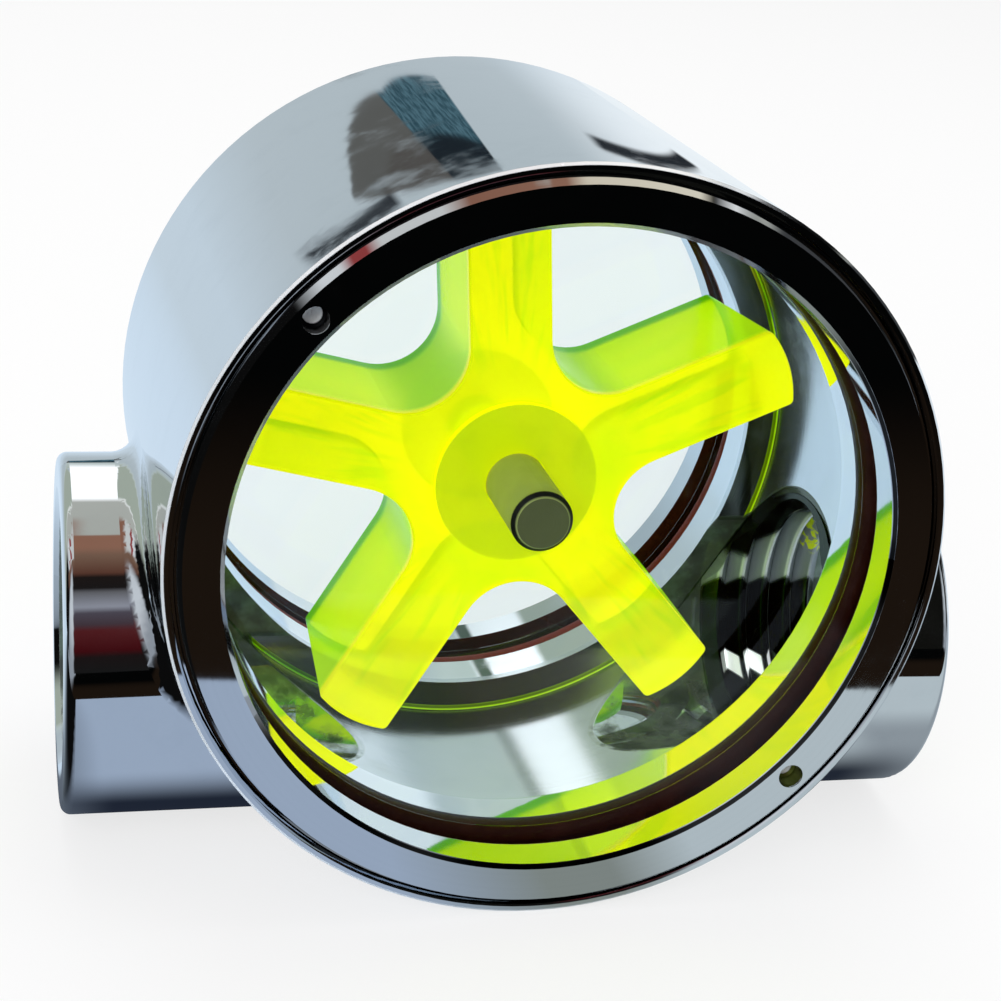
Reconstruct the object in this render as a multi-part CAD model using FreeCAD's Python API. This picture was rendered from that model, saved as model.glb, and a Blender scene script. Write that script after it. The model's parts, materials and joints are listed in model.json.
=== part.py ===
"""Water flow indicator: a round plated body with two threaded ports and a window at each end.

A five-bladed impeller turns on a pin between the windows, in the water that passes from port to port.
Frame: millimetres, origin at the centre of the body, X along the ports, -Y out of the front window, Z up.
"""
import FreeCAD, Part
import math
import os

from FreeCAD import Vector

# Body
body_diameter = 36.0
overall_depth = 27.0
rim_wall = 0.4
rim_chamfer = 0.12
rim_inner_chamfer = 0.08
chamber_wall = 1.0
chamber_corner_chamfer = 0.25

# Port bosses
port_span = 43.6
boss_diameter = 17.8
boss_lift = 0.2
boss_end_rounding = 0.5
boss_root_fillet = 1.2
port_thread_diameter = 13.157
port_thread_length = 4.9
port_relief = 0.3
port_mouth_chamfer = 0.65

# Stack between the chamber and each end of the body
front_lip_thickness = 1.5
rear_lip_thickness = 2.4
o_ring_height = 1.4
o_ring_width = 1.95
flange_thickness = 1.6
ring_height = 2.0
ring_proud = 0.3

# Retaining rings
ring_width = 2.15
ring_thread_clearance = 0.05
ring_joint_gap = 0.15
ring_joint_depth = 0.7
ring_face_chamfer_width = 0.33
ring_face_chamfer_depth = 0.4
ring_inner_chamfer = 0.2
spanner_hole_diameter = 1.2
spanner_hole_depth = 1.0
spanner_hole_point_angle = 118.0
spanner_hole_angle = 137.0
spanner_hole_count = 2

# Windows
flange_clearance = 0.1
plug_clearance = 0.1
lip_overhang = 0.05
plug_edge_chamfer = 0.2
rear_socket_depth = 2.45

# Shaft
shaft_diameter = 3.0
shaft_end_chamfer = 0.25
socket_clearance = 0.03
shaft_end_play = 0.05

# Impeller
blade_count = 5
blade_width = 4.05
blade_depth = 8.1
blade_root_radius = 3.0
blade_tip_bow = 0.37
blade_tip_taper = 0.7
blade_tip_clearance = 0.4
blade_corner_rounding = 0.3
blade_edge_rounding = 0.15
first_blade_angle = 23.6
hub_diameter = 8.1
hub_height = 0.5
bore_clearance = 0.05
thrust_gap = 0.2

# Radii and depths that follow from the sizes above; depths are distances from the middle of the body
body_radius = body_diameter / 2
bore_radius = body_radius - rim_wall
ring_radius = bore_radius - ring_thread_clearance
ring_collar_radius = bore_radius - ring_joint_gap
view_radius = ring_collar_radius - ring_width
lip_radius = view_radius + lip_overhang
chamber_radius = body_radius - chamber_wall

ring_face = overall_depth / 2
rim_face = ring_face - ring_proud
ring_seat = ring_face - ring_height
flange_seat = ring_seat - flange_thickness
lip_face = flange_seat - o_ring_height
front_chamber_end = lip_face - front_lip_thickness
rear_chamber_end = lip_face - rear_lip_thickness

boss_radius = boss_diameter / 2
port_radius = port_thread_diameter / 2
port_height = boss_radius + boss_lift - body_radius

shaft_radius = shaft_diameter / 2
socket_end = rear_chamber_end + rear_socket_depth
shaft_end = socket_end - shaft_end_play
tip_radius = view_radius - blade_tip_clearance

ORIGIN = Vector(0, 0, 0)
ALONG_PORTS = Vector(1, 0, 0)
ALONG_SHAFT = Vector(0, 1, 0)
UPWARD = Vector(0, 0, 1)
FULL_TURN = 360.0
HALF_TURN = 180.0


def turned(outline):
    """Solid of revolution about the shaft axis, from (radius, depth) corners."""
    corners = [Vector(radius, depth, 0) for radius, depth in outline]
    profile = Part.Face(Part.makePolygon(corners + corners[:1]))
    return profile.revolve(ORIGIN, ALONG_SHAFT, FULL_TURN)


def turned_round(shape):
    """The same piece at the other end of the body, as it would be fitted there."""
    copy = shape.copy()
    copy.rotate(ORIGIN, UPWARD, HALF_TURN)
    return copy


def circles(shape, radius, axis, place):
    """Circular edges of one radius that lie square to an axis, at a distance from the middle."""
    found = []
    for edge in shape.Edges:
        curve = edge.Curve
        if curve.TypeId != "Part::GeomCircle" or not math.isclose(curve.Radius, radius, abs_tol=1e-6):
            continue
        if math.isclose(abs(curve.Center.dot(axis)), place, abs_tol=1e-6):
            found.append(edge)
    return found


def make_outer_form():
    """Round body and port bosses as one solid, with eased ends and a fillet where they meet."""
    barrel = Part.makeCylinder(body_radius, 2 * rim_face, Vector(0, -rim_face, 0), ALONG_SHAFT)
    boss_start = Vector(-port_span / 2, 0, port_height)
    bosses = Part.makeCylinder(boss_radius, port_span, boss_start, ALONG_PORTS)
    form = barrel.fuse(bosses).removeSplitter()
    roots = [edge for edge in form.Edges if edge.Curve.TypeId == "Part::GeomBSplineCurve"]
    form = form.makeFillet(boss_root_fillet, roots)
    form = form.makeFillet(boss_end_rounding, circles(form, boss_radius, ALONG_PORTS, port_span / 2))
    return form.makeChamfer(rim_chamfer, circles(form, body_radius, ALONG_SHAFT, rim_face))


def half_bore(chamber_end):
    """Corners of the bore from one end of the body to the chamber, as (radius, depth)."""
    return [
        (0, rim_face),
        (bore_radius + rim_inner_chamfer, rim_face),
        (bore_radius, rim_face - rim_inner_chamfer),
        (bore_radius, lip_face),
        (lip_radius, lip_face),
        (lip_radius, chamber_end),
        (chamber_radius - chamber_corner_chamfer, chamber_end),
        (chamber_radius, chamber_end - chamber_corner_chamfer),
    ]


def make_stepped_bore():
    """Space for the rings, the windows, the seals and the water, on the shaft axis."""
    front = [(radius, -depth) for radius, depth in reversed(half_bore(front_chamber_end))]
    return turned(half_bore(rear_chamber_end) + front)


def make_port_bore():
    """Threaded length with a chamfered mouth in each boss, and a slightly wider run between them."""
    port_end = port_span / 2
    relief_end = port_end - port_thread_length
    relief_radius = port_radius + port_relief
    mouth_radius = port_radius + port_mouth_chamfer
    half = [
        Vector(relief_end, relief_radius, 0),
        Vector(relief_end, port_radius, 0),
        Vector(port_end - port_mouth_chamfer, port_radius, 0),
        Vector(port_end, mouth_radius, 0),
        Vector(port_end, 0, 0),
    ]
    other_half = [Vector(-corner.x, corner.y, 0) for corner in reversed(half)]
    outline = other_half + half
    profile = Part.Face(Part.makePolygon(outline + outline[:1]))
    bore = profile.revolve(ORIGIN, ALONG_PORTS, FULL_TURN)
    bore.translate(Vector(0, 0, port_height))
    return bore


def make_body():
    """Housing: outer form less the stepped bore and the ports."""
    return make_outer_form().cut(make_stepped_bore()).cut(make_port_bore())


def make_ring():
    """Front retaining ring: bevelled face, plain collar, threaded skirt and blind spanner holes."""
    ring = turned([
        (view_radius, -ring_seat),
        (ring_radius, -ring_seat),
        (ring_radius, ring_joint_depth - rim_face),
        (ring_collar_radius, ring_joint_depth - rim_face),
        (ring_collar_radius, ring_face_chamfer_depth - ring_face),
        (ring_collar_radius - ring_face_chamfer_width, -ring_face),
        (view_radius + ring_inner_chamfer, -ring_face),
        (view_radius, ring_inner_chamfer - ring_face),
    ])
    middle = (view_radius + ring_inner_chamfer + ring_collar_radius - ring_face_chamfer_width) / 2
    for index in range(spanner_hole_count):
        angle = math.radians(spanner_hole_angle + index * FULL_TURN / spanner_hole_count)
        ring = ring.cut(make_spanner_hole(polar(middle, angle, -ring_face)))
    return ring


def make_spanner_hole(mouth):
    """Blind hole with the pointed end that a drill leaves."""
    radius = spanner_hole_diameter / 2
    point = radius / math.tan(math.radians(spanner_hole_point_angle / 2))
    hole = Part.makeCylinder(radius, spanner_hole_depth, mouth, ALONG_SHAFT)
    return hole.fuse(Part.makeCone(radius, 0, point, mouth + ALONG_SHAFT * spanner_hole_depth, ALONG_SHAFT))


def make_window(chamber_end):
    """Window for the front: a flange under the ring, and a plug that fills the lip and holds the shaft."""
    flange_radius = bore_radius - flange_clearance
    plug_radius = lip_radius - plug_clearance
    socket_radius = shaft_radius + socket_clearance
    return turned([
        (0, -ring_seat),
        (flange_radius, -ring_seat),
        (flange_radius, -flange_seat),
        (plug_radius, -flange_seat),
        (plug_radius, -chamber_end - plug_edge_chamfer),
        (plug_radius - plug_edge_chamfer, -chamber_end),
        (socket_radius, -chamber_end),
        (socket_radius, -socket_end),
        (0, -socket_end),
    ])


def make_o_ring():
    """Front seal, squeezed flat between the lip and the window's flange, with bulging sides."""
    inner = lip_radius
    outer = lip_radius + o_ring_width
    bulge = o_ring_height / 2
    middle = -lip_face - bulge
    inner_top = Vector(inner + bulge, -flange_seat, 0)
    outer_top = Vector(outer - bulge, -flange_seat, 0)
    inner_foot = Vector(inner + bulge, -lip_face, 0)
    outer_foot = Vector(outer - bulge, -lip_face, 0)
    section = Part.Wire([
        Part.makeLine(inner_top, outer_top),
        Part.Arc(outer_top, Vector(outer, middle, 0), outer_foot).toShape(),
        Part.makeLine(outer_foot, inner_foot),
        Part.Arc(inner_foot, Vector(inner, middle, 0), inner_top).toShape(),
    ])
    return Part.Face(section).revolve(ORIGIN, ALONG_SHAFT, FULL_TURN)


def polar(radius, angle, depth):
    """Point at a radius and an angle round the shaft, at a depth along it."""
    return Vector(radius * math.cos(angle), depth, radius * math.sin(angle))


def blade_outline(angle, step, reach, depth):
    """Edges of one blade that reaches to a radius, and of the round valley after it."""
    level = Vector(0, depth, 0)
    valley_centre = (blade_root_radius + blade_width / 2) / math.sin(step / 2)
    root_distance = valley_centre * math.cos(step / 2)
    along = polar(1, angle, 0)
    across = polar(blade_width / 2, angle + math.pi / 2, 0)
    root = along * root_distance + level
    shoulder = along * (reach - blade_tip_bow) + level
    crown = along * reach + level
    valley = polar(valley_centre - blade_root_radius, angle + step / 2, depth)
    next_across = polar(blade_width / 2, angle + step + math.pi / 2, 0)
    next_root = polar(root_distance, angle + step, depth) - next_across
    return [
        Part.makeLine(root - across, shoulder - across),
        Part.Arc(shoulder - across, crown, shoulder + across).toShape(),
        Part.makeLine(shoulder + across, root + across),
        Part.Arc(root + across, valley, next_root).toShape(),
    ]


def star_outline(reach, depth):
    """Closed outline of all the blades, square to the shaft."""
    step = 2 * math.pi / blade_count
    edges = []
    for index in range(blade_count):
        edges += blade_outline(math.radians(first_blade_angle) + index * step, step, reach, depth)
    return Part.Wire(edges)


def make_star(front, rear):
    """Blades with tapered tips, rounded at the tips' corners and round both faces."""
    outlines = [star_outline(tip_radius, front), star_outline(tip_radius - blade_tip_taper, rear)]
    star = Part.makeLoft(outlines, True, True)
    root_radius = tip_radius - blade_tip_taper - blade_width / 2
    corners = []
    for edge in star.Edges:
        middle = edge.CenterOfMass
        crosses = abs(edge.Vertexes[0].Point.y - edge.Vertexes[-1].Point.y) > blade_depth / 2
        if crosses and math.hypot(middle.x, middle.z) > root_radius:
            corners.append(edge)
    star = star.makeFillet(blade_corner_rounding, corners)
    rims = []
    for face in (front, rear):
        rims += [edge for edge in star.Edges if all(math.isclose(v.Point.y, face) for v in edge.Vertexes)]
    return star.makeFillet(blade_edge_rounding, rims)


def make_impeller():
    """Star of straight blades with a raised hub on each face and a bore for the shaft."""
    rear = rear_chamber_end - thrust_gap - hub_height
    front = rear - blade_depth
    hub_start = Vector(0, front - hub_height, 0)
    hub_length = blade_depth + 2 * hub_height
    hub = Part.makeCylinder(hub_diameter / 2, hub_length, hub_start, ALONG_SHAFT)
    bore = Part.makeCylinder(shaft_radius + bore_clearance, hub_length, hub_start, ALONG_SHAFT)
    return make_star(front, rear).fuse(hub).removeSplitter().cut(bore)


def make_shaft():
    """Plain pin with a chamfer at each end, held in the windows' sockets."""
    shaft = Part.makeCylinder(shaft_radius, 2 * shaft_end, Vector(0, -shaft_end, 0), ALONG_SHAFT)
    return shaft.makeChamfer(shaft_end_chamfer, circles(shaft, shaft_radius, ALONG_SHAFT, shaft_end))


def build():
    """All the pieces in place, by name."""
    ring = make_ring()
    o_ring = make_o_ring()
    return {
        "body": make_body(),
        "front_retaining_ring": ring,
        "rear_retaining_ring": turned_round(ring),
        "front_window": make_window(front_chamber_end),
        "rear_window": turned_round(make_window(rear_chamber_end)),
        "front_o_ring": o_ring,
        "rear_o_ring": turned_round(o_ring),
        "impeller": make_impeller(),
        "shaft": make_shaft(),
    }


os.makedirs("parts", exist_ok=True)
for name, shape in build().items():
    shape.exportStep(os.path.join("parts", name + ".step"))
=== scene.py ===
"""Water flow indicator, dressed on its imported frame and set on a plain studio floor.

The CAD nodes keep their shapes and take the finishes made here. The threads in the two ports are new
pieces. Lengths are in metres; shader masks work in millimetres of the same frame.
"""

import json
import math

import bmesh
import bpy
from bpy.props import FloatProperty, FloatVectorProperty, IntProperty, PointerProperty
from mathutils import Matrix, Vector

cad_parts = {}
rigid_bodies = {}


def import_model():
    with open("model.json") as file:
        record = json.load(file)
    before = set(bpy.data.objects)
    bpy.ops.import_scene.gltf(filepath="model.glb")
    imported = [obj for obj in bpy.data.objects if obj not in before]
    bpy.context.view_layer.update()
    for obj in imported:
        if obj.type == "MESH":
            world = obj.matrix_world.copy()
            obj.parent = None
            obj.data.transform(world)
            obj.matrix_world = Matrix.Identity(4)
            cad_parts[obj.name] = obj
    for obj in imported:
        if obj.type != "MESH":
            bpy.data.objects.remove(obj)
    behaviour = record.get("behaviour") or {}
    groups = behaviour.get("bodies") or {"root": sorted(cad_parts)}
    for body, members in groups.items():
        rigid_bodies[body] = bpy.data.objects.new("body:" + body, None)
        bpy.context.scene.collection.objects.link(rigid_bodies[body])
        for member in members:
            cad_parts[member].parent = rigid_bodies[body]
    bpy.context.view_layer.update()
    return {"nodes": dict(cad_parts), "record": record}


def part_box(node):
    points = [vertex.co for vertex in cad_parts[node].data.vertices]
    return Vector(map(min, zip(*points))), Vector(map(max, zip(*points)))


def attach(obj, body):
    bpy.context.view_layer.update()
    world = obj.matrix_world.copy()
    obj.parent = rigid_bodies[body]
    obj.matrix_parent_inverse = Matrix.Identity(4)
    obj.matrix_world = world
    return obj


bl_info = {
    "name": "Water flow indicator",
    "version": (1, 0, 0),
    "blender": (4, 5, 0),
    "location": "3D View > Sidebar > Indicator",
    "description": "Finishes, port threads and studio for a water flow indicator",
    "category": "Object",
}

for start_up_object in list(bpy.data.objects):
    bpy.data.objects.remove(start_up_object)
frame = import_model()

MM = 0.001
SHARP_EDGE = math.radians(35)
PORTS = [mount for mount in frame["record"]["mounts"] if mount["kind"] == "threaded_hole"]
BODY_LOW, BODY_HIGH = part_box("body")

# Places that the masks go by, in millimetres: radii about an axis, and depths along the shaft.
BODY_RADIUS = BODY_HIGH.z / MM
BODY_FACE = BODY_HIGH.y / MM
RING_GAP = 0.05
BORE_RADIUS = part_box("rear_retaining_ring")[1].x / MM + RING_GAP
RING_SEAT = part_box("rear_retaining_ring")[0].y / MM
RING_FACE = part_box("rear_retaining_ring")[1].y / MM
COLLAR_RADIUS = 17.45
SPANNER_RADIUS = 16.3
SPANNER_DEPTH = 1.1
VIEW_RADIUS = 15.3
CHAMBER_RADIUS = 17.0
FLANGE_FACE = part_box("rear_window")[1].y / MM
SEAL_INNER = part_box("rear_o_ring")[0].y / MM
SEAL_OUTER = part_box("rear_o_ring")[1].y / MM
FRONT_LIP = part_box("front_window")[1].y / MM
REAR_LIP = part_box("rear_window")[0].y / MM
IMPELLER_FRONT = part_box("impeller")[0].y / MM
IMPELLER_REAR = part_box("impeller")[1].y / MM
HUB_RADIUS = 4.05
PORT_HEIGHT = PORTS[0]["pos_m"][2] / MM
PORT_RADIUS = PORTS[0]["dims"]["r_mm"]
CREST_RADIUS = 5.7
SHAFT_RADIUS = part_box("shaft")[1].x / MM
SHAFT_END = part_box("shaft")[1].y / MM

# Depths of surface relief, in metres.
PLATING_RELIEF = 0.000010
RING_RELIEF = 0.000008
WINDOW_RELIEF = 0.000006
RUBBER_RELIEF = 0.000030
PLASTIC_RELIEF = 0.000012
STEEL_RELIEF = 0.000010

BLACK = (0.0, 0.0, 0.0)
WHITE = (1.0, 1.0, 1.0)


def colour_property(name, description, default):
    """Colour that a user can change, in linear light."""
    return FloatVectorProperty(
        name=name, description=description, default=default, subtype="COLOR", size=3, min=0.0, max=1.0)


def factor_property(name, description, default):
    """Share from none to all."""
    return FloatProperty(
        name=name, description=description, default=default, subtype="FACTOR", min=0.0, max=1.0)


def length_property(name, description, default):
    """Length in metres."""
    return FloatProperty(name=name, description=description, default=default, unit="LENGTH", precision=6)


class PlatingSettings(bpy.types.PropertyGroup):
    """Bright plating on the body, the rings and the port threads."""
    colour: colour_property("Plating", "Clean bright plating", (0.80, 0.83, 0.86))
    polish: factor_property("Polish", "Roughness of clean plating", 0.025)
    smudge: factor_property("Smudges", "Roughness that finger marks add", 0.09)
    haze: colour_property("Haze", "Cloudy patches on the body", (0.62, 0.66, 0.70))
    # Painted highlight: a pale line on the left part of the body's end chamfers.
    rim_highlight: colour_property("Rim", "Pale edge round each end of the body", (0.95, 0.96, 0.97))
    # Painted shade with the seal's red reflected in it, on the bore wall behind a flange.
    seal_shade: colour_property("Seal shade", "Bore wall behind a window's flange", (0.035, 0.012, 0.008))
    # Painted shade: dark green in the chamber's corners, in and round the ports and low in the threads.
    stain_and_shade: colour_property("Stain", "Wet corners of the chamber and the ports", (0.030, 0.042, 0.028))
    # Painted light: lighter cloudy patches low in and round the ports, amid the painted shade.
    lit_patches: colour_property("Damp", "Cloudy patches among the stains", (0.16, 0.24, 0.18))
    turned: colour_property("Turning lines", "Lines on the rings' faces", (0.66, 0.69, 0.72))
    # Painted highlight on the lower right of a ring's outer edge.
    edge_highlight: colour_property("Worn edge", "Rubbed outer edge of a ring", (0.88, 0.90, 0.92))
    bevel: colour_property("Bevel", "Inner edge of a ring in the shade", (0.03, 0.03, 0.03))
    # Painted shade with the seal's red reflected in it, on a ring's side against its window.
    seat_shade: colour_property("Seat", "Side of a ring against its window", (0.10, 0.022, 0.010))
    # Painted shade on the walls of the spanner holes on the left.
    hole_left_shade: colour_property("Left hole", "Wall of the left spanner holes", (0.02, 0.02, 0.02))
    # Painted reflection of the yellow impeller on the walls of the spanner holes on the right.
    hole_right_reflection: colour_property("Right hole", "Wall of the right spanner holes", (0.22, 0.25, 0.05))
    # Painted light: pale upper flanks of a thread.
    thread: colour_property("Thread", "Upper flanks of a thread", (0.40, 0.44, 0.46))
    dragged: colour_property("Dragged thread", "Tap marks on a thread", (0.26, 0.29, 0.31))
    # Painted highlight on a thread's upper crests, and its painted glints.
    crest: colour_property("Crest", "Rubbed crests and glints of a thread", (0.92, 0.94, 0.95))
    # Painted reflection of the yellow impeller, as specks at a port's mouth.
    reflected_specks: colour_property("Specks", "Yellow specks at a port's mouth", (0.80, 0.90, 0.02))
    glint: factor_property("Glint", "Strength of a thread's glints", 0.5)


class ThreadSettings(bpy.types.PropertyGroup):
    """Pipe thread inside each port."""
    pitch: length_property("Pitch", "Distance between neighbouring ridges", 0.001337)
    ridge: length_property("Ridge height", "Height of a ridge above the groove", 0.00084)
    relief: length_property("Relief", "Extra radius behind the threaded wall", 0.0003)
    skin: length_property("Skin gap", "Room between the thread's back and the boss", 0.00002)
    inner_end: length_property("Inner end", "Thread's end from the middle of the body", 0.0144)
    chamber: length_property("Chamber radius", "Chamber wall that cuts the ridges off", 0.01703)
    crest: factor_property("Crest", "Flat top of a ridge as a share of the pitch", 0.10)
    foot: factor_property("Foot", "Foot of a ridge as a share of the pitch", 0.98)
    segments: IntProperty(name="Segments", description="Steps in each turn of a ridge", default=96, min=24)


class WindowSettings(bpy.types.PropertyGroup):
    """Clear acrylic windows."""
    tint: colour_property("Tint", "Light that each face lets through", (0.972, 0.995, 1.0))
    gloss: colour_property("Gloss", "Light that each face throws back", (0.9, 0.92, 0.95))
    ior: FloatProperty(name="IOR", description="Refractive index that sets the gloss", default=1.38, min=1.0)
    smudge: factor_property("Smudges", "Gloss that finger marks add", 0.02)


class SealSettings(bpy.types.PropertyGroup):
    """Rubber seals under the windows."""
    # One rubber in two tones: painted shade on the front seal, painted light on the rear one.
    front: colour_property("Front rubber", "Front seal", (0.024, 0.003, 0.001))
    rear: colour_property("Rear rubber", "Rear seal", (0.240, 0.024, 0.010))
    bloom: colour_property("Bloom", "Dull patches on the rubber's skin", (0.12, 0.030, 0.014))
    roughness: factor_property("Roughness", "Roughness of the rubber", 0.42)
    sheen: factor_property("Sheen", "Strength of the rubber's reflections", 0.22)


class PlasticSettings(bpy.types.PropertyGroup):
    """Fluorescent plastic of the impeller."""
    face: colour_property("Face", "Blades' flat faces", (1.0, 0.88, 0.002))
    flow: colour_property("Flow marks", "Streaks along the blades", (0.56, 0.76, 0.003))
    # Painted highlight on the flat faces near the blades' tips.
    tip_highlight: colour_property("Tip", "Flat faces near the blades' tips", (1.0, 1.0, 0.004))
    # Painted shade: the blades' sides darker and greener than their faces.
    shaded_flank: colour_property("Flank", "Blades' sides", (0.48, 0.76, 0.004))
    # Painted shade on the blades' sides towards the back.
    deep_shade: colour_property("Deep", "Blades' sides towards the back", (0.20, 0.56, 0.0))
    # Painted shade in the round corners between the blades.
    root: colour_property("Root", "Round corners between the blades", (0.30, 0.60, 0.0))
    # Painted shade: dark green along the blades' far edges.
    rear: colour_property("Rear", "Blades' far edges", (0.10, 0.42, 0.0))
    hub: colour_property("Hub", "Raised hub", (0.54, 0.62, 0.002))
    swirl: colour_property("Swirl", "Darker swirls in the hub", (0.42, 0.52, 0.002))
    face_tint: colour_property("Face tint", "Light that the flat faces let through", (1.0, 1.0, 0.02))
    side_tint: colour_property("Side tint", "Light that the blades' sides let through", (0.88, 1.0, 0.07))
    face_body: factor_property("Face body", "How much of the light the flat faces stop", 0.55)
    side_body: factor_property("Side body", "How much of the light the blades' sides stop", 0.55)
    # Painted light: the moulding gives off its own colours at one strength, whatever light falls on it.
    painted_glow: FloatProperty(name="Glow", description="Strength of the fluorescence", default=0.60, min=0.0)
    roughness: factor_property("Roughness", "Roughness of the moulded faces", 0.12)
    sheen: factor_property("Sheen", "Strength of the plastic's reflections", 0.15)


class ShaftSettings(bpy.types.PropertyGroup):
    """Steel pin that the impeller turns on."""
    colour: colour_property("Steel", "Pin's side, lit by the plastic", (0.52, 0.57, 0.17))
    # Painted shade on the pin's flat ends.
    end: colour_property("End", "Pin's flat ends", (0.11, 0.12, 0.036))
    stain_and_shade: colour_property("Stain", "Cloudy stains on the steel", (0.12, 0.13, 0.06))
    # Painted shade: a dark ring round the pin's ends.
    corner: colour_property("Corner", "Dark edge round the pin's ends", (0.006, 0.006, 0.005))
    metal: factor_property("Metal", "How metallic the dull steel looks", 0.2)
    roughness: factor_property("Roughness", "Roughness of the turned steel", 0.38)


class StageSettings(bpy.types.PropertyGroup):
    """Camera, floor and studio light."""
    azimuth: FloatProperty(name="Azimuth", description="Camera's turn about the object",
                           default=math.radians(-14.878), subtype="ANGLE")
    elevation: FloatProperty(name="Elevation", description="Camera's height above the horizon",
                             default=math.radians(20.658), subtype="ANGLE")
    roll: FloatProperty(name="Roll", description="Camera's lean",
                        default=math.radians(4.829), subtype="ANGLE")
    distance: length_property("Distance", "Camera's distance from its target", 0.104233)
    target: FloatVectorProperty(name="Target", description="Middle of the picture",
                                default=(0.000108, 0.0, -0.002145), subtype="TRANSLATION", precision=6)
    lens: FloatProperty(name="Lens", description="Focal length in millimetres", default=73.99, unit="CAMERA")
    floor_size: length_property("Floor size", "Width of the square floor", 1.6)
    floor_edge: colour_property("Floor edge", "Mirrored far front left", (0.004, 0.004, 0.004))
    floor_left: colour_property("Floor left", "Mirrored front left", (0.37, 0.45, 0.58))
    floor_middle: colour_property("Floor middle", "Mirrored front middle", (0.25, 0.28, 0.26))
    floor_right: colour_property("Floor right", "Mirrored front right", (0.52, 0.59, 0.62))
    floor_side: colour_property("Floor side", "Mirrored right side", (0.31, 0.35, 0.38))
    floor_rear: colour_property("Floor rear", "Mirrored rear", (0.66, 0.79, 0.92))
    floor_bright: colour_property("Floor rear right", "Mirrored rear right", (0.86, 0.92, 0.96))
    # Painted shadow on the floor under the object, as metal sees it.
    floor_contact_shadow: colour_property("Floor under", "Mirrored floor under the object", (0.008, 0.012, 0.025))
    floor_dark: colour_property("Floor dark", "Mirrored floor past its pale front", (0.013, 0.008, 0.005))
    floor_far: colour_property("Floor far", "Mirrored floor far in front", (0.0012, 0.0014, 0.0014))
    floor_beside: colour_property("Floor beside", "Both sides of the dark floor", (0.30, 0.33, 0.37))
    floor_paper: colour_property("Floor paper", "Floor seen in shadow", (0.9, 0.9, 0.9))
    floor_front: length_property("Floor front", "Front end of the pale floor", -0.0384)
    floor_shadow: factor_property("Shadow", "Share of the shadow that shows", 0.25)
    soft_light: FloatProperty(name="Soft light", description="Even light all round", default=0.6, min=0.0)


class Value:
    """Socket of a node tree; sums and products of it add Math nodes to that tree."""

    def __init__(self, shader, socket):
        self.shader = shader
        self.socket = socket

    def at_least(self, other):
        return self.shader.maths("MAXIMUM", self, other)

    def __add__(self, other):
        return self.shader.maths("ADD", self, other)

    def __sub__(self, other):
        return self.shader.maths("SUBTRACT", self, other)

    def __rsub__(self, other):
        return self.shader.maths("SUBTRACT", other, self)

    def __mul__(self, other):
        return self.shader.maths("MULTIPLY", self, other)

    def __truediv__(self, other):
        return self.shader.maths("DIVIDE", self, other)

    def __pow__(self, other):
        return self.shader.maths("POWER", self, other)

    def __abs__(self):
        return self.shader.maths("ABSOLUTE", self)

    __radd__ = __add__
    __rmul__ = __mul__


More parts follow.
